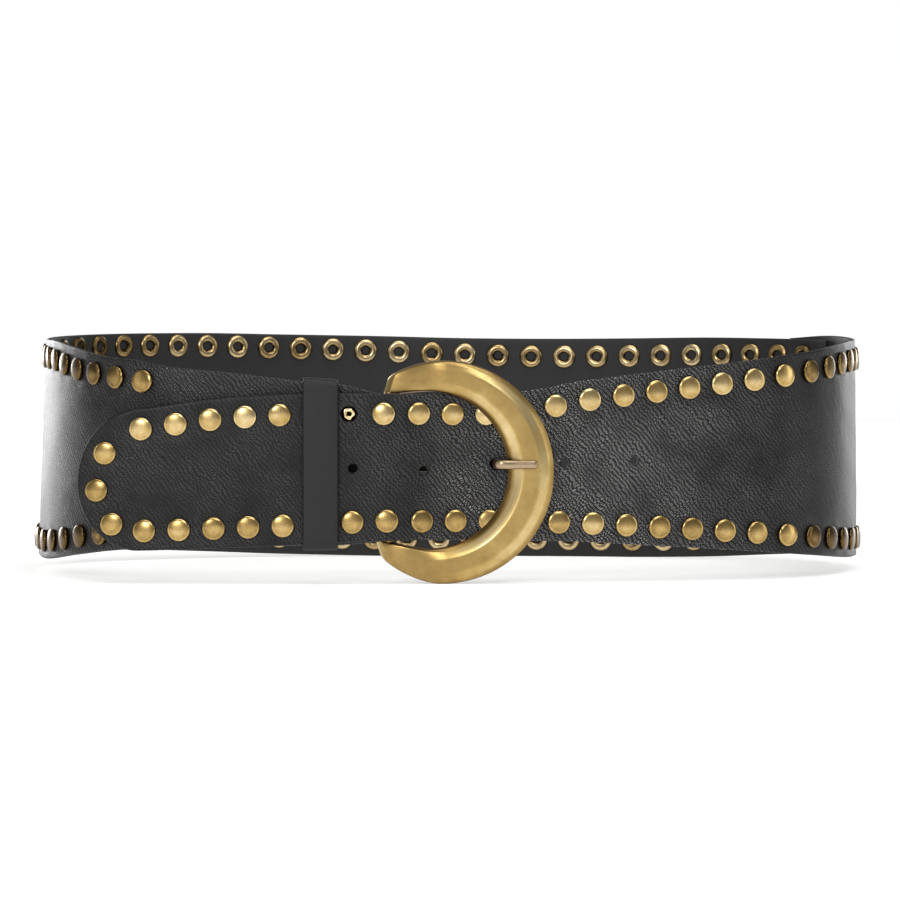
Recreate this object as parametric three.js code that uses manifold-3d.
// A wide studded waist belt in black leather, fastened in a loop.
// The outer strap runs from its round tip, through the buckle and round the right side, and is
// lapped over the back panel. The back panel runs round the back and the left side, passes behind
// the tip and is folded round the bar of the buckle. Low brass studs follow both edges.
// Millimetres, +X to the right seen from the front, +Y to the back, +Z up. The belt stands on the
// lowest point of its buckle and on the lower edge of its back, with its origin on the ground under
// the middle of its box. It is drawn with y = 0 at its front, and moved there at the end.

import * as THREE from "three";
import { mergeVertices } from "three/addons/utils/BufferGeometryUtils.js";
import Module from "manifold-3d";

const wasm = await Module();
wasm.setup();

// Loop, measured at the middle of the outer leather
const LOOP_WIDTH = 370;
const LOOP_DEPTH = 232;
const BELT_HEIGHT = 101.5;

// Leather and the gaps between its layers
const LEATHER = 2.4;
const LAYER_GAP = 1.5;
const CLEARANCE = 0.3;
const STRAP_STEP = 8;

// Tongue: from the bar of the buckle to the round tip
const TONGUE_LENGTH = 137.5;
const TONGUE_FLAT = 75;
const TONGUE_BEND_RADIUS = 300;
const TIP_LENGTH = 27;
const TIP_STEPS = 9;
const TIP_LAST_ANGLE = 82;

// Lap of the outer strap over the back panel, and its start as a share of the loop's length
const LAP_START = 0.319;
const LAP_LENGTH = 27;
const LAP_EASE = 40;

// Fold-over of the back panel behind the bar
const FOLD_OVER = 46;
const FOLD_OVER_EASE = 12;
const FOLD_STEPS = 8;

// Buckle
const BAR_X = -27;
const BAR_RADIUS = 2;
const BAR_SEAT = 2;
const BAR_SIDES = 12;
const FRAME_RADIUS = 49.3;
const FRAME_CENTRE_X = -3.5;
const FRAME_TURN = 3;
const FRAME_OPENING = 35.2;
const FRAME_OPENING_OFFSET = -6.2;
const FRAME_ARM_REACH = 21;
const FRAME_ARM_CLOSING = 2.2;
const FRAME_END_ANGLE = 122;
const FRAME_THICKNESS = 4;
const FRAME_STATIONS = 44;
const FRAME_ARM_STEP = 26;
const FRAME_OVER_STRAP = 30;
const FRAME_OVER_STUD = 43;

// Section of the frame: across is the share from its opening to its outer edge, front the share of
// its thickness
const FRAME_PROFILE = [
  { across: 0, front: 0 },
  { across: 0.1, front: 0.5 },
  { across: 0.31, front: 1 },
  { across: 0.71, front: 1 },
  { across: 0.88, front: 0.55 },
  { across: 1, front: 0 },
];

// Prong
const PRONG_WIDTH = 4.2;
const PRONG_THICKNESS = 2.6;
const PRONG_EYE_WALL = 2;
const PRONG_EYE_CUT = 1.2;
const PRONG_NOTCH = 0.8;
const PRONG_BEVEL = 0.6;
const PRONG_LENGTH = 64;
const PRONG_SHANK = 22;
const PRONG_CRANK_START = 43;
const PRONG_CRANK_END = 52.4;
const PRONG_SHANK_SLACK = 0.3;
const PRONG_STEPS = 20;
const PRONG_NOSE_SIDES = 12;

// Keeper
const KEEPER_WIDTH = 15.3;
const KEEPER_FROM_BAR = 22.3;
const KEEPER_LEATHER = 1.5;
const KEEPER_CORNER = 1.2;
const KEEPER_CORNER_STEPS = 3;

// Punched holes along the middle of the outer strap
const HOLE_RADIUS = 1.9;
const HOLE_PITCH = 31.4;
const HOLE_SIDES = 10;
const PRONG_HOLE_FROM_BAR = 47;
const PRONG_HOLE_LENGTH = 9.4;
const PRONG_HOLE_PULL = 1.6;
const HOLES = [
  { pitches: -2, drop: 0.3 },
  { pitches: -1, drop: 1.6 },
  { pitches: 1, drop: 0 },
  { pitches: 2, drop: 0.5 },
];

// Studs and the clinched rings of their rivets
const STUD_RADIUS = 5.1;
const STUD_RIM = 0.7;
const STUD_HEIGHT = 1.7;
const STUD_PITCH = 15.26;
const BACK_TOP_PITCH = 15.6;
const BACK_BOTTOM_PITCH = 15.37;
const RING_RADIUS = 4.9;
const RING_BORE = 2.1;
const RING_HEIGHT = 0.9;
const RING_CLEARANCE = 0.6;
const STUD_SIDES = 12;

// In a run six sides put a flat of each stud or ring across the row, where its link meets it
const RUN_SIDES = 6;

// Links that hold the studs or rings of a run together, over the leather between them
const LINK_WIDTH = 1.2;
const LINK_THICKNESS = 0.3;
const LINK_LIFT = 0.3;
const LINK_SEAT = 1.2;

// Bare rivet, where one stud has lost its cap
const BARE_HOLE_RADIUS = 3.4;
const BARE_POST_RADIUS = 2.6;
const BARE_BORE = 0.9;
const BARE_FLANGE = 4.5;
const BARE_PROUD = 0.2;

// Posts that the loop's curve is drawn towards, counterclockwise from the middle of the bar.
// Near the buckle they are distances from the bar; round the body they are shares of half the
// loop's width (across) and of its depth (back).
const BUCKLE_POSTS = [
  { place: "over the bar", fromBar: -14, depth: 0 },
  { place: "leaving the bar", fromBar: 4, depth: 0 },
  { place: "slanting in", fromBar: 16, depth: 2.4 },
  { place: "behind the arms", fromBar: 28, depth: 5.6 },
  { place: "prong hole", fromBar: 42, depth: 6.9 },
  { place: "behind the frame", fromBar: 62, depth: 8.2 },
];
const BODY_POSTS = [
  { place: "right of the buckle", across: 0.36, back: 0.055 },
  { place: "front right", across: 0.54, back: 0.1 },
  { place: "before the right fold", across: 0.71, back: 0.14 },
  { place: "right fold", across: 0.86, back: 0.2 },
  { place: "right fold", across: 0.945, back: 0.33 },
  { place: "right side", across: 0.982, back: 0.46 },
  { place: "right back corner", across: 1.0, back: 0.67 },
  { place: "right shoulder", across: 0.87, back: 0.8 },
  { place: "back right", across: 0.61, back: 0.93 },
  { place: "back", across: 0.29, back: 0.99 },
  { place: "back", across: -0.09, back: 1.01 },
  { place: "back left", across: -0.41, back: 0.98 },
  { place: "left shoulder", across: -0.68, back: 0.89 },
  { place: "left back corner", across: -0.88, back: 0.77 },
  { place: "left side", across: -1.01, back: 0.62 },
  { place: "left side", across: -1.0, back: 0.42 },
  { place: "left fold", across: -0.95, back: 0.24 },
  { place: "left fold", across: -0.86, back: 0.1 },
  { place: "behind the tip", across: -0.72, back: 0 },
  { place: "behind the tongue", across: -0.53, back: 0 },
];
const BAR_APPROACH = [{ place: "behind the keeper", fromBar: -41, depth: 0 }];
const SPAN_STEPS = 24;

// Edges of the outer strap. at is the share of its length from the tip; top and bottom are heights
// above the ground as shares of the belt's height; flare is how far the lower edge stands out.
const OUTER_EDGES = [
  { place: "tip", at: 0, top: 0.74, bottom: 0.142, flare: 0 },
  { place: "tip shoulder", at: 0.06, top: 0.763, bottom: 0.145, flare: 0 },
  { place: "tongue", at: 0.12, top: 0.802, bottom: 0.155, flare: 0 },
  { place: "under the keeper", at: 0.2, top: 0.826, bottom: 0.17, flare: 0 },
  { place: "bar", at: 0.28, top: 0.829, bottom: 0.188, flare: 0 },
  { place: "prong hole", at: 0.385, top: 0.825, bottom: 0.19, flare: 0 },
  { place: "under the frame", at: 0.43, top: 0.848, bottom: 0.184, flare: 0 },
  { place: "past the buckle", at: 0.46, top: 0.876, bottom: 0.18, flare: 0 },
  { place: "front right", at: 0.54, top: 0.918, bottom: 0.156, flare: 0 },
  { place: "front right", at: 0.62, top: 0.957, bottom: 0.13, flare: 0.003 },
  { place: "right fold", at: 0.7, top: 0.996, bottom: 0.098, flare: 0.006 },
  { place: "right side", at: 0.78, top: 1.024, bottom: 0.07, flare: 0.008 },
  { place: "right back corner", at: 0.88, top: 1.025, bottom: 0.057, flare: 0.008 },
  { place: "lap", at: 1, top: 1.027, bottom: 0.041, flare: 0 },
];

// Edges of the back panel, at being the share of its length from the lap to the bar; rivets is the
// height of its upper row, which doesn't keep one distance from the edge
const PANEL_EDGES = [
  { place: "lap", at: 0, top: 1.01, rivets: 0.947, bottom: 0.049, flare: 0 },
  { place: "right shoulder", at: 0.05, top: 1.009, rivets: 0.944, bottom: 0.03, flare: 0 },
  { place: "back right", at: 0.105, top: 1.008, rivets: 0.93, bottom: 0.009, flare: 0 },
  { place: "back right", at: 0.165, top: 1, rivets: 0.92, bottom: 0, flare: 0 },
  { place: "back", at: 0.22, top: 0.996, rivets: 0.915, bottom: 0, flare: 0 },
  { place: "back", at: 0.28, top: 0.998, rivets: 0.924, bottom: 0, flare: 0 },
  { place: "back", at: 0.335, top: 1.007, rivets: 0.939, bottom: 0, flare: 0 },
  { place: "back left", at: 0.41, top: 1.018, rivets: 0.957, bottom: 0.014, flare: 0 },
  { place: "left shoulder", at: 0.465, top: 1.028, rivets: 0.969, bottom: 0.032, flare: 0.004 },
  { place: "left back corner", at: 0.55, top: 1.033, rivets: 0.978, bottom: 0.06, flare: 0.016 },
  { place: "left side", at: 0.655, top: 1.03, rivets: 0.957, bottom: 0.076, flare: 0.04 },
  { place: "left side", at: 0.715, top: 1.032, rivets: 0.952, bottom: 0.072, flare: 0.044 },
  { place: "left fold", at: 0.77, top: 1.004, rivets: 0.917, bottom: 0.108, flare: 0.028 },
  { place: "left fold", at: 0.805, top: 0.978, rivets: 0.897, bottom: 0.134, flare: 0.012 },
  { place: "behind the tip", at: 0.83, top: 0.969, rivets: 0.883, bottom: 0.147, flare: 0.004 },
  { place: "behind the tongue", at: 0.857, top: 0.941, rivets: 0.86, bottom: 0.155, flare: 0 },
  { place: "behind the tongue", at: 0.89, top: 0.922, rivets: 0.84, bottom: 0.161, flare: 0 },
  { place: "keeper", at: 0.945, top: 0.88, rivets: 0.8, bottom: 0.166, flare: 0 },
  { place: "keeper", at: 0.97, top: 0.866, rivets: 0.785, bottom: 0.169, flare: 0 },
  { place: "bar", at: 1, top: 0.815, rivets: 0.735, bottom: 0.187, flare: 0 },
];

// Rows of studs. from is the first stud's distance from the bar along the outer strap, or from the
// lap's start along the panel; margin is its centre's distance in from its edge, or from a line
// of the table of edges.
const TOP_FROM = -2.2;
const BOTTOM_FROM = -0.8;
const TONGUE_STUDS = 8;
const FRONT_STUDS = 11;
const SIDE_STUDS = 10;
const BARE_RIVET_INDEX = 1;
const TONGUE_ROWS = [
  { name: "stud_tongue_top", edge: "top", from: TOP_FROM, pitch: -STUD_PITCH, margin: 9 },
  { name: "stud_tongue_bottom", edge: "bottom", from: BOTTOM_FROM, pitch: -STUD_PITCH, margin: 8.8 },
];
const FRONT_ROWS = [
  { name: "front_top", edge: "top", from: TOP_FROM + STUD_PITCH, pitch: STUD_PITCH, margin: 8.8 },
  { name: "front_bottom", edge: "bottom", from: BOTTOM_FROM + STUD_PITCH, pitch: STUD_PITCH, margin: 8.4 },
];
const TIP_MARGIN = 9.2;
const TIP_STUDS = [
  { name: "stud_tip_upper", angle: 35 },
  { name: "stud_tip_middle", angle: -8 },
  { name: "stud_tip_lower", angle: -56 },
];
const LAP_RIVET = TOP_FROM + STUD_PITCH * (FRONT_STUDS + SIDE_STUDS + 1);
const PANEL_STUDS = 35;
const PANEL_ROWS = [
  { name: "back_top", edge: "rivets", pitch: BACK_TOP_PITCH, margin: 0 },
  { name: "back_bottom", edge: "bottom", pitch: BACK_BOTTOM_PITCH, margin: 7.2 },
];

const LEATHER_BLACK = new THREE.MeshStandardMaterial({ color: 0x2b2a29, roughness: 0.5, metalness: 0 });
const KEEPER_BLACK = new THREE.MeshStandardMaterial({ color: 0x333231, roughness: 0.6, metalness: 0 });
const ANTIQUE_BRASS = new THREE.MeshStandardMaterial({ color: 0xb0935a, roughness: 0.35, metalness: 1 });
const PRONG_BRASS = new THREE.MeshStandardMaterial({ color: 0x8a6a4a, roughness: 0.35, metalness: 1 });

const radians = THREE.MathUtils.degToRad;

// The loop as a closed cubic B-spline over its posts, kept as a fine table of places by length
function makeLoop() {
  const nearBar = (post) => ({ x: BAR_X + post.fromBar, y: post.depth });
  const onBody = (post) => ({ x: (post.across * LOOP_WIDTH) / 2, y: post.back * LOOP_DEPTH });
  const posts = [...BUCKLE_POSTS.map(nearBar), ...BODY_POSTS.map(onBody), ...BAR_APPROACH.map(nearBar)];
  const places = [];
  for (let i = 0; i < posts.length; i++) {
    const [a, b, c, d] = [0, 1, 2, 3].map((k) => posts[(i + posts.length - 1 + k) % posts.length]);
    for (let j = 0; j < SPAN_STEPS; j++) {
      const t = j / SPAN_STEPS;
      const blend = [(1 - t) ** 3, 3 * t ** 3 - 6 * t ** 2 + 4, -3 * t ** 3 + 3 * t ** 2 + 3 * t + 1, t ** 3];
      const turn = [-((1 - t) ** 2), 3 * t ** 2 - 4 * t, -3 * t ** 2 + 2 * t + 1, t ** 2];
      const mix = (weights, axis) => weights.reduce((sum, w, k) => sum + w * [a, b, c, d][k][axis], 0);
      places.push({
        x: mix(blend, "x") / 6,
        y: mix(blend, "y") / 6,
        heading: Math.atan2(mix(turn, "y"), mix(turn, "x")),
      });
    }
  }
  return measureFromBar(places);
}

// Turns the closed list round so that it starts over the bar, which only the front crosses towards
// the right, and adds each place's length
function measureFromBar(places) {
  const nextTo = (i) => places[(i + 1) % places.length];
  const first = places.findIndex((p, i) => p.x <= BAR_X && nextTo(i).x > BAR_X);
  const [a, b] = [places[first], nextTo(first)];
  const t = (BAR_X - a.x) / (b.x - a.x);
  const start = { x: BAR_X, y: a.y + t * (b.y - a.y), heading: a.heading + t * (b.heading - a.heading) };
  const order = [start, ...places.slice(first + 1), ...places.slice(0, first + 1), { ...start }];
  let length = 0;
  order.forEach((p, i) => {
    if (i > 0) length += Math.hypot(p.x - order[i - 1].x, p.y - order[i - 1].y);
    p.length = length;
  });
  return { places: order, length };
}

const loop = makeLoop();

// The place at a length along the loop from the bar, moved inwards
function onLoop(length, inset = 0) {
  const { places } = loop;
  let low = 0;
  let high = places.length - 1;
  while (high - low > 1) {
    const middle = (low + high) >> 1;
    if (places[middle].length <= length) low = middle;
    else high = middle;
  }
  const [a, b] = [places[low], places[high]];
  const t = (length - a.length) / (b.length - a.length);
  const bend = Math.atan2(Math.sin(b.heading - a.heading), Math.cos(b.heading - a.heading));
  const heading = a.heading + t * bend;
  return {
    x: a.x + t * (b.x - a.x) - inset * Math.sin(heading),
    y: a.y + t * (b.y - a.y) + inset * Math.cos(heading),
    heading,
  };
}

const lapStart = LAP_START * loop.length;
const lapEnd = lapStart + LAP_LENGTH;
const outerLength = TONGUE_LENGTH + lapEnd;
const panelLength = loop.length - lapStart;
const panelInset = LEATHER + LAYER_GAP;

// The middle of the outer strap: the tongue is straight, then bends back a little to its tip,
// and the lap closes up to the panel that it covers
function onOuterStrap(length) {
  if (length >= 0) {
    const ease = THREE.MathUtils.smoothstep(length, lapStart - LAP_EASE, lapStart);
    return onLoop(length, ease * (LAYER_GAP - CLEARANCE));
  }
  const bend = Math.max(0, -length - TONGUE_FLAT) / TONGUE_BEND_RADIUS;
  return {
    x: BAR_X + Math.max(length, -TONGUE_FLAT) - TONGUE_BEND_RADIUS * Math.sin(bend),
    y: TONGUE_BEND_RADIUS * (1 - Math.cos(bend)),
    heading: -bend,
  };
}

const onPanel = (length) => onLoop(Math.min(lapStart + length, loop.length), panelInset);

// Reads a column of a table of edges at a share of the strap's length, on a smooth curve
function readEdge(rows, share, column) {
  const last = rows.length - 1;
  let i = 0;
  while (i < last - 1 && rows[i + 1].at < share) i++;
  const slope = (k) => {
    const [a, b] = [rows[Math.max(k - 1, 0)], rows[Math.min(k + 1, last)]];
    return (b[column] - a[column]) / (b.at - a.at);
  };
  const [from, to] = [rows[i], rows[i + 1]];
  const span = to.at - from.at;
  const t = (share - from.at) / span;
  const level = from[column] === to[column];
  const [leaving, arriving] = level ? [0, 0] : [slope(i) * span, slope(i + 1) * span];
  const ease = t ** 2 * (3 - 2 * t);
  const straight = from[column] * (1 - ease) + to[column] * ease;
  const bent = t * (1 - t) ** 2 * leaving - t ** 2 * (1 - t) * arriving;
  return (straight + bent) * BELT_HEIGHT;
}

// A strap: its middle line and its edges
const outerStrap = {
  place: onOuterStrap,
  edge: (length, column) => readEdge(OUTER_EDGES, (length + TONGUE_LENGTH) / outerLength, column),
};
const panelStrap = {
  place: onPanel,
  edge: (length, column) => readEdge(PANEL_EDGES, length / panelLength, column),
};

// A point of a strap at a length and height, moved outwards from the middle of the leather
function strapPoint(strap, length, height, outwards) {
  const p = strap.place(length);
  const top = strap.edge(length, "top");
  const bottom = strap.edge(length, "bottom");
  const lean = (strap.edge(length, "flare") * (top - height)) / (top - bottom);
  const out = outwards + lean;
  return [p.x + out * Math.sin(p.heading), p.y - out * Math.cos(p.heading), height];
}

// The four corners of a strap's section
function strapSection(strap, length, top, bottom) {
  const half = LEATHER / 2;
  return [
    strapPoint(strap, length, bottom, half),
    strapPoint(strap, length, top, half),
    strapPoint(strap, length, top, -half),
    strapPoint(strap, length, bottom, -half),
  ];
}

// Skins a list of rings of points as one closed surface
function loft(rings, closed = false) {
  const sides = rings[0].length;
  const positions = rings.flat(2);
  const index = [];
  const spans = closed ? rings.length : rings.length - 1;
  for (let i = 0; i < spans; i++) {
    const next = (i + 1) % rings.length;
    for (let j = 0; j < sides; j++) {
      const k = (j + 1) % sides;
      const [a, b, c, d] = [i * sides + j, next * sides + j, next * sides + k, i * sides + k];
      index.push(a, b, c, a, c, d);
    }
  }
  if (!closed) {
    const last = (rings.length - 1) * sides;
    for (let j = 1; j < sides - 1; j++) {
      index.push(0, j, j + 1);
      index.push(last, last + j + 1, last + j);
    }
  }
  const geometry = new THREE.BufferGeometry();
  geometry.setAttribute("position", new THREE.Float32BufferAttribute(positions, 3));
  geometry.setIndex(index);
  return geometry;
}

// A geometry as a solid with its faces pointing out
function toSolid(source) {
  const geometry = source.clone();
  geometry.deleteAttribute("normal");
  geometry.deleteAttribute("uv");
  const merged = mergeVertices(geometry, 1e-4);
  const faces = [];
  const all = merged.index.array;
  for (let i = 0; i < all.length; i += 3) {
    const [a, b, c] = all.slice(i, i + 3);
    if (a !== b && b !== c && c !== a) faces.push(a, b, c);
  }
  const vertProperties = merged.attributes.position.array;
  const build = (list) =>
    new wasm.Manifold(new wasm.Mesh({ numProp: 3, vertProperties, triVerts: new Uint32Array(list) }));
  const solid = build(faces);
  return solid.volume() > 0 ? solid : build(faces.reverse());
}

// A solid as a named mesh
function toMesh(name, solid, material) {
  const { vertProperties, triVerts } = solid.getMesh();
  const geometry = new THREE.BufferGeometry();
  geometry.setAttribute("position", new THREE.BufferAttribute(vertProperties, 3));
  geometry.setIndex(new THREE.BufferAttribute(triVerts, 1));
  const flat = geometry.toNonIndexed();
  flat.computeVertexNormals();
  const mesh = new THREE.Mesh(flat, material);
  mesh.name = name;
  return mesh;
}

// Stands a turned shape, whose axis is +Y and whose first seam is +Z, on a strap's face with its
// axis pointing away
function seatOnStrap(geometry, strap, length, height, outwards, facing = 1) {
  const { heading } = strap.place(length);
  const axis = new THREE.Vector3(Math.sin(heading), -Math.cos(heading), 0).multiplyScalar(facing);
  const up = new THREE.Vector3(0, 0, 1);
  const across = new THREE.Vector3().crossVectors(axis, up);
  const matrix = new THREE.Matrix4().makeBasis(across, axis, up);
  matrix.setPosition(...strapPoint(strap, length, height, outwards));
  return geometry.clone().applyMatrix4(matrix);
}

function edgeHeight(strap, length, row) {
  const side = row.edge === "bottom" ? 1 : -1;
  return strap.edge(length, row.edge) + side * row.margin;
}

const profile = (points) => points.map(([radius, height]) => new THREE.Vector2(radius, height));

function studShape(sides) {
  const points = [
    [0, 0],
    [STUD_RADIUS, 0],
    [STUD_RADIUS, STUD_RIM],
    [0, STUD_HEIGHT],
  ];
  return new THREE.LatheGeometry(profile(points), sides);
}

function ringShape(sides) {
  const points = [
    [RING_BORE, 0],
    [RING_RADIUS, 0],
    [RING_RADIUS, RING_HEIGHT],
    [RING_BORE, RING_HEIGHT],
    [RING_BORE, 0],
  ];
  return new THREE.LatheGeometry(profile(points), sides);
}

const strapMiddle = (length) => (outerStrap.edge(length, "top") + outerStrap.edge(length, "bottom")) / 2;
const prongHeight = strapMiddle(PRONG_HOLE_FROM_BAR);
const barY = panelInset + LEATHER / 2 + CLEARANCE + BAR_RADIUS;
const faceOut = LEATHER / 2 + CLEARANCE;

// A place on the tip's outline, or inside it by an inset, at an angle from its middle
function tipPlace(angle, inset) {
  const length = -TONGUE_LENGTH + TIP_LENGTH - (TIP_LENGTH - inset) * Math.cos(radians(angle));
  const top = outerStrap.edge(length, "top") - inset;
  const bottom = outerStrap.edge(length, "bottom") + inset;
  const height = (top + bottom) / 2 + ((top - bottom) / 2) * Math.sin(radians(angle));
  return { length, height };
}

// The outer strap with its round tip, its punched holes, the prong's hole and the bare rivet's
function makeOuterStrap() {
  const rings = [];
  for (let i = 0; i < TIP_STEPS; i++) {
    const angle = 90 - TIP_LAST_ANGLE * (1 - i / TIP_STEPS);
    const upper = tipPlace(angle, 0);
    const lower = tipPlace(-angle, 0);
    rings.push(strapSection(outerStrap, upper.length, upper.height, lower.height));
  }
  const first = -TONGUE_LENGTH + TIP_LENGTH;
  rings.push(...plainSections(outerStrap, first, lapEnd));
  const depth = LEATHER * 4;
  const drill = (radius) => new THREE.CylinderGeometry(radius, radius, depth, HOLE_SIDES);
  let solid = toSolid(loft(rings));
  for (const { pitches, drop } of HOLES) {
    const length = PRONG_HOLE_FROM_BAR + pitches * HOLE_PITCH;
    const hole = seatOnStrap(drill(HOLE_RADIUS), outerStrap, length, strapMiddle(length) - drop, 0);
    solid = solid.subtract(toSolid(hole));
  }
  const bare = barePlace();
  const bareHole = seatOnStrap(drill(BARE_HOLE_RADIUS), outerStrap, bare.length, bare.height, 0);
  return solid.subtract(toSolid(bareHole)).subtract(toSolid(prongHole(depth)));
}

// Sections at an even step along a strap
function plainSections(strap, first, last) {
  const steps = Math.ceil((last - first) / STRAP_STEP);
  const rings = [];
  for (let i = 0; i <= steps; i++) {
    const length = first + ((last - first) * i) / steps;
    rings.push(strapSection(strap, length, strap.edge(length, "top"), strap.edge(length, "bottom")));
  }
  return rings;
}

// The hole that the prong pulls long, a slot with round ends
function prongHole(depth) {
  const radius = PRONG_WIDTH / 2 + CLEARANCE;
  const reach = PRONG_HOLE_LENGTH / 2 - radius;
  const outline = new THREE.Shape();
  outline.absarc(reach, 0, radius, -Math.PI / 2, Math.PI / 2);
  outline.absarc(-reach, 0, radius, Math.PI / 2, Math.PI * 1.5);
  const options = { depth, bevelEnabled: false, curveSegments: HOLE_SIDES / 2 };
  const slot = new THREE.ExtrudeGeometry(outline, options);
  slot.translate(0, 0, -depth / 2);
  slot.rotateX(-Math.PI / 2);
  return seatOnStrap(slot, outerStrap, PRONG_HOLE_FROM_BAR - PRONG_HOLE_PULL, prongHeight, 0);
}

// The back panel, folded round the bar, with an opening there for the prong's eye
function makeBackPanel() {
  const rings = plainSections(panelStrap, 0, panelLength);
  const top = panelStrap.edge(panelLength, "top");
  const bottom = panelStrap.edge(panelLength, "bottom");
  const inner = BAR_RADIUS + CLEARANCE;
  const outer = inner + LEATHER;
  for (let i = 1; i <= FOLD_STEPS; i++) {
    const turn = (Math.PI * i) / FOLD_STEPS;
    const at = (radius, z) => [BAR_X + radius * Math.sin(turn), barY - radius * Math.cos(turn), z];
    rings.push([at(outer, bottom), at(outer, top), at(inner, top), at(inner, bottom)]);
  }
  const lyingY = panelInset + LEATHER + CLEARANCE;
  const foldedY = barY + inner + LEATHER / 2;
  for (let i = 1; i <= FOLD_STEPS; i++) {
    const back = (FOLD_OVER * i) / FOLD_STEPS;
    const y = THREE.MathUtils.lerp(foldedY, lyingY, THREE.MathUtils.smoothstep(back, 0, FOLD_OVER_EASE));
    const at = (side, z) => [BAR_X - back, y + (side * LEATHER) / 2, z];
    rings.push([at(1, bottom), at(1, top), at(-1, top), at(-1, bottom)]);
  }
  const opening = 2 * (outer + PRONG_EYE_CUT);
  const cut = new THREE.BoxGeometry(opening, opening * 2, PRONG_WIDTH + 2 * PRONG_EYE_CUT);
  cut.translate(BAR_X, barY, prongHeight);
  return toSolid(loft(rings)).subtract(toSolid(cut));
}

// The frame's back lies against the studded strap behind it, and steps back to the bar
const frameBackY = Math.min(
  onOuterStrap(FRAME_OVER_STRAP).y - faceOut,
  onOuterStrap(FRAME_OVER_STUD).y - faceOut - STUD_HEIGHT - CLEARANCE,
);
const frameFrontY = frameBackY - FRAME_THICKNESS;

function frameBackAt(x) {
  const armBackY = barY + FRAME_THICKNESS / 2;
  const ease = THREE.MathUtils.smoothstep(x, BAR_X, BAR_X + FRAME_ARM_STEP);
  return THREE.MathUtils.lerp(armBackY, frameBackY, ease);
}

// One section of the crescent at an angle round the frame's centre
function frameSection(angle) {
  const turn = radians(angle);
  const outer = [FRAME_RADIUS * Math.cos(turn), FRAME_RADIUS * Math.sin(turn)];
  let inner = [FRAME_OPENING_OFFSET + FRAME_OPENING * Math.cos(turn), FRAME_OPENING * Math.sin(turn)];
  if (Math.abs(angle) > 90) {
    const along = (Math.abs(angle) - 90) / (FRAME_END_ANGLE - 90);
    const height = FRAME_OPENING - FRAME_ARM_CLOSING * along ** 2;
    inner = [FRAME_OPENING_OFFSET - FRAME_ARM_REACH * along, Math.sign(angle) * height];
  }
  const tilt = radians(FRAME_TURN);
  return FRAME_PROFILE.map(({ across, front }) => {
    const x = THREE.MathUtils.lerp(inner[0], outer[0], across);
    const z = THREE.MathUtils.lerp(inner[1], outer[1], across);
    const worldX = FRAME_CENTRE_X + x * Math.cos(tilt) + z * Math.sin(tilt);
    const worldZ = FRAME_RADIUS - x * Math.sin(tilt) + z * Math.cos(tilt);
    return [worldX, frameBackAt(worldX) - front * FRAME_THICKNESS, worldZ];
  });
}

// The crescent frame and its bar are one casting, with a notch where the prong rests
function makeBuckleFrame() {
  const rings = [];
  for (let i = 0; i <= FRAME_STATIONS; i++) {
    rings.push(frameSection(FRAME_END_ANGLE * (1 - (2 * i) / FRAME_STATIONS)));
  }
  const frame = toSolid(loft(rings));
  const armAbove = rings[0][0][2];
  const armBelow = rings[FRAME_STATIONS][0][2];
  const barLength = armAbove - armBelow + 2 * BAR_SEAT;
  const bar = new THREE.CylinderGeometry(BAR_RADIUS, BAR_RADIUS, barLength, BAR_SIDES);
  bar.rotateX(Math.PI / 2);
  bar.translate(BAR_X, barY, (armAbove + armBelow) / 2);
  const notchWidth = PRONG_WIDTH + 2 * CLEARANCE;
  const notch = new THREE.BoxGeometry(FRAME_RADIUS, 2 * PRONG_NOTCH, notchWidth);
  notch.translate(FRAME_CENTRE_X + FRAME_RADIUS, frameFrontY, prongHeight);
  return frame.add(toSolid(bar)).subtract(toSolid(notch));
}

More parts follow.
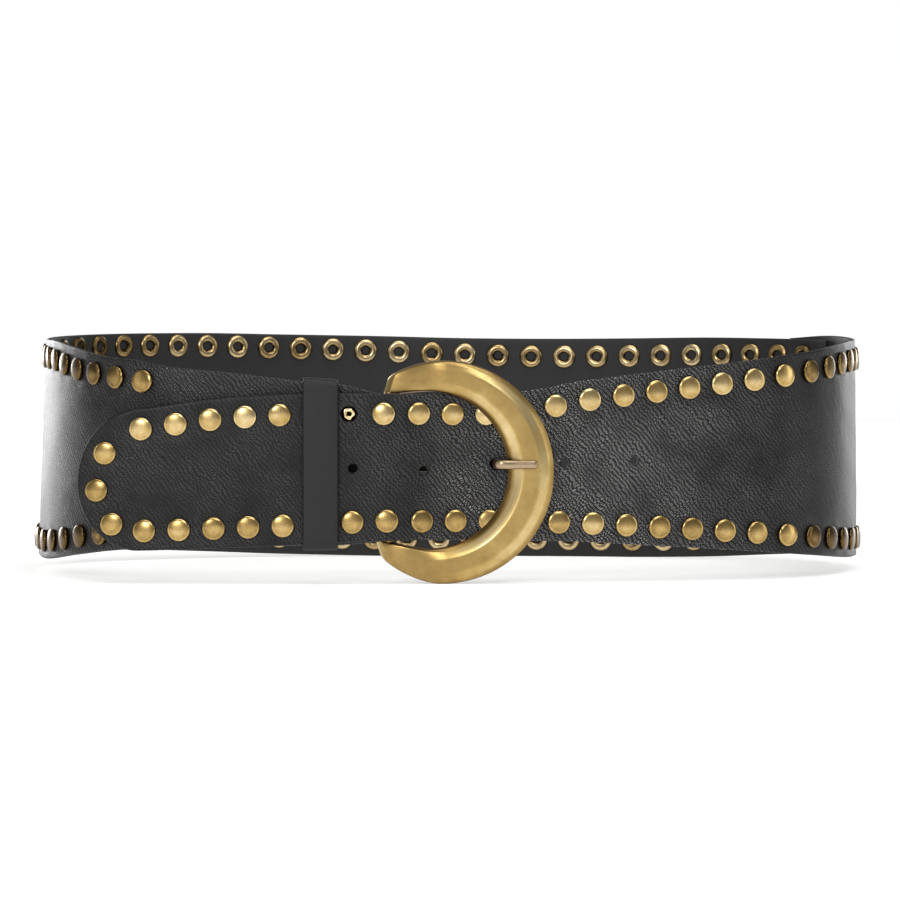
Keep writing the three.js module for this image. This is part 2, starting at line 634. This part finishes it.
// The prong: an eye round the bar, a shank behind the strap, and a crank through the strap's hole
// to a blunt nose on the frame
function makeProng() {
  const eyeInner = BAR_RADIUS + CLEARANCE;
  const eyeOuter = eyeInner + PRONG_EYE_WALL;
  const eyeProfile = [
    [eyeInner, 0],
    [eyeOuter, 0],
    [eyeOuter, PRONG_WIDTH],
    [eyeInner, PRONG_WIDTH],
    [eyeInner, 0],
  ];
  const eye = new THREE.LatheGeometry(profile(eyeProfile), BAR_SIDES);
  eye.rotateX(Math.PI / 2);
  eye.translate(BAR_X, barY, prongHeight - PRONG_WIDTH / 2);
  const restY = frameFrontY + PRONG_NOTCH - CLEARANCE - PRONG_THICKNESS / 2;
  const behind = (fromBar) => onOuterStrap(fromBar).y + faceOut + PRONG_THICKNESS / 2;
  const way = [
    [BAR_X + eyeInner + PRONG_EYE_WALL / 2, barY],
    [BAR_X + PRONG_SHANK, Math.max(barY, behind(PRONG_SHANK) + PRONG_SHANK_SLACK)],
    [BAR_X + PRONG_CRANK_START, behind(PRONG_CRANK_START) + PRONG_SHANK_SLACK],
    [BAR_X + PRONG_CRANK_END, restY],
    [BAR_X + (PRONG_CRANK_END + PRONG_LENGTH) / 2, restY],
    [BAR_X + PRONG_LENGTH, restY],
  ];
  const points = way.map(([x, y]) => new THREE.Vector3(x, y, prongHeight));
  const extrudePath = new THREE.CatmullRomCurve3(points, false, "centripetal");
  const half = { width: PRONG_WIDTH / 2, thickness: PRONG_THICKNESS / 2 };
  const section = new THREE.Shape();
  section.moveTo(-half.width, -half.thickness);
  section.lineTo(half.width, -half.thickness);
  section.lineTo(half.width, half.thickness - PRONG_BEVEL);
  section.lineTo(half.width - PRONG_BEVEL, half.thickness);
  section.lineTo(-half.width + PRONG_BEVEL, half.thickness);
  section.lineTo(-half.width, half.thickness - PRONG_BEVEL);
  section.closePath();
  const shank = new THREE.ExtrudeGeometry(section, { extrudePath, steps: PRONG_STEPS, bevelEnabled: false });
  const noseHeight = PRONG_THICKNESS - PRONG_BEVEL;
  const nose = new THREE.CylinderGeometry(half.width, half.width, noseHeight, PRONG_NOSE_SIDES);
  nose.translate(BAR_X + PRONG_LENGTH, restY, prongHeight);
  return toSolid(shank).add(toSolid(eye)).add(toSolid(nose));
}

// The keeper, a band round the tongue, the panel and its fold-over
function makeKeeper() {
  const ends = [KEEPER_FROM_BAR + KEEPER_WIDTH, KEEPER_FROM_BAR].map((fromBar) => {
    const panelAt = panelLength - fromBar;
    const tongueAt = -fromBar;
    return {
      x: BAR_X - fromBar,
      top: Math.max(panelStrap.edge(panelAt, "top"), outerStrap.edge(tongueAt, "top")) + CLEARANCE,
      bottom: Math.min(panelStrap.edge(panelAt, "bottom"), outerStrap.edge(tongueAt, "bottom")) - CLEARANCE,
    };
  });
  const front = -faceOut - STUD_HEIGHT - CLEARANCE;
  const back = panelInset + LEATHER + CLEARANCE + LEATHER / 2 + CLEARANCE;
  const corners = [
    { y: front, side: "bottom", turn: 180 },
    { y: back, side: "bottom", turn: 270 },
    { y: back, side: "top", turn: 0 },
    { y: front, side: "top", turn: 90 },
  ];
  const rings = [];
  for (const { y, side, turn } of corners) {
    for (let i = 0; i <= KEEPER_CORNER_STEPS; i++) {
      const angle = radians(turn + (90 * i) / KEEPER_CORNER_STEPS);
      const at = (end, radius) => [
        end.x,
        y + (y === front ? KEEPER_CORNER : -KEEPER_CORNER) + radius * Math.cos(angle),
        end[side] + (side === "bottom" ? KEEPER_CORNER : -KEEPER_CORNER) + radius * Math.sin(angle),
      ];
      const outside = KEEPER_CORNER + KEEPER_LEATHER;
      const [left, right] = ends;
      rings.push([at(left, KEEPER_CORNER), at(right, KEEPER_CORNER), at(right, outside), at(left, outside)]);
    }
  }
  return toSolid(loft(rings, true));
}

function barePlace() {
  const row = TONGUE_ROWS[0];
  const length = row.from + BARE_RIVET_INDEX * row.pitch;
  return { length, height: edgeHeight(outerStrap, length, row) };
}

// The rivet that has lost its cap: a flange behind the leather and a tube through it
function makeBareRivet() {
  const { length, height } = barePlace();
  const reach = CLEARANCE + LEATHER + RING_HEIGHT + BARE_PROUD;
  const points = [
    [BARE_BORE, 0],
    [BARE_FLANGE, 0],
    [BARE_FLANGE, RING_HEIGHT],
    [BARE_POST_RADIUS, RING_HEIGHT],
    [BARE_POST_RADIUS, reach],
    [BARE_BORE, reach],
    [BARE_BORE, 0],
  ];
  const shape = new THREE.LatheGeometry(profile(points), STUD_SIDES);
  return toSolid(seatOnStrap(shape, outerStrap, length, height, -faceOut - RING_HEIGHT));
}

const onFace = (strap, shape, length, height) => seatOnStrap(shape, strap, length, height, faceOut);

// Studs on the outer face of a strap, and the rings of their rivets on its inner face
const STUD_SIDE = { facing: 1, out: faceOut, radius: STUD_RADIUS };
const RING_SIDE = { facing: -1, out: LEATHER / 2 + RING_CLEARANCE, radius: RING_RADIUS };

// A run of studs or rings held together by short links along their row
function makeRun(strap, row, first, count, shape, { facing, out, radius }) {
  const lengthAt = (k) => row.from + k * row.pitch;
  const linkReach = (radius - LINK_SEAT) / row.pitch;
  let run;
  for (let k = first; k < first + count; k++) {
    const length = lengthAt(k);
    const seated = seatOnStrap(shape, strap, length, edgeHeight(strap, length, row), facing * out, facing);
    run = run ? run.add(toSolid(seated)) : toSolid(seated);
    if (k > first) run = run.add(makeLink(lengthAt(k - 1 + linkReach), lengthAt(k - linkReach)));
  }
  return run;

  // A straight bar with the same section at both ends, so that each of its sides is flat
  function makeLink(from, to) {
    const { heading } = strap.place((from + to) / 2);
    const away = facing * LINK_THICKNESS;
    const rings = [from, to].map((length) => {
      const [x, y, z] = strapPoint(strap, length, edgeHeight(strap, length, row), facing * (out + LINK_LIFT));
      const corner = (far, up) => [
        x + far * away * Math.sin(heading),
        y - far * away * Math.cos(heading),
        z + (up * LINK_WIDTH) / 2,
      ];
      return [corner(0, -1), corner(0, 1), corner(1, 1), corner(1, -1)];
    });
    return toSolid(loft(rings));
  }
}

const belt = new THREE.Group();
const addPiece = (name, solid, material) => belt.add(toMesh(name, solid, material));

addPiece("outer_strap", makeOuterStrap(), LEATHER_BLACK);
addPiece("back_panel", makeBackPanel(), LEATHER_BLACK);
addPiece("keeper", makeKeeper(), KEEPER_BLACK);
addPiece("buckle_frame", makeBuckleFrame(), ANTIQUE_BRASS);
addPiece("buckle_prong", makeProng(), PRONG_BRASS);
addPiece("bare_rivet", makeBareRivet(), ANTIQUE_BRASS);

const stud = studShape(STUD_SIDES);
const rowStud = studShape(RUN_SIDES);
const rowRing = ringShape(RUN_SIDES);

for (const row of TONGUE_ROWS) {
  for (let k = 0; k < TONGUE_STUDS; k++) {
    if (row.edge === "top" && k === BARE_RIVET_INDEX) continue;
    const length = row.from + k * row.pitch;
    const seated = onFace(outerStrap, stud, length, edgeHeight(outerStrap, length, row));
    addPiece(row.name + "_" + (k + 1), toSolid(seated), ANTIQUE_BRASS);
  }
}
for (const { name, angle } of TIP_STUDS) {
  const { length, height } = tipPlace(angle, TIP_MARGIN);
  addPiece(name, toSolid(onFace(outerStrap, stud, length, height)), ANTIQUE_BRASS);
}
for (const row of FRONT_ROWS) {
  for (let k = 0; k < FRONT_STUDS; k++) {
    const length = row.from + k * row.pitch;
    const seated = onFace(outerStrap, stud, length, edgeHeight(outerStrap, length, row));
    addPiece("stud_" + row.name + "_" + (k + 1), toSolid(seated), ANTIQUE_BRASS);
  }
  const studs = makeRun(outerStrap, row, FRONT_STUDS, SIDE_STUDS + 1, rowStud, STUD_SIDE);
  const rings = makeRun(outerStrap, row, 0, FRONT_STUDS + SIDE_STUDS - 1, rowRing, RING_SIDE);
  addPiece("studs_side_" + row.edge, studs, ANTIQUE_BRASS);
  addPiece("rings_" + row.name, rings, ANTIQUE_BRASS);
}
for (const row of PANEL_ROWS) {
  const fromLap = { ...row, from: LAP_RIVET - lapStart };
  const studs = makeRun(panelStrap, fromLap, 1, PANEL_STUDS, rowStud, STUD_SIDE);
  const rings = makeRun(panelStrap, fromLap, 0, PANEL_STUDS + 1, rowRing, RING_SIDE);
  addPiece("studs_" + row.name, studs, ANTIQUE_BRASS);
  addPiece("rings_" + row.name, rings, ANTIQUE_BRASS);
}

const box = new THREE.Box3().setFromObject(belt);
const middle = box.getCenter(new THREE.Vector3());
belt.position.set(-middle.x, -middle.y, -box.min.z);

export default belt;
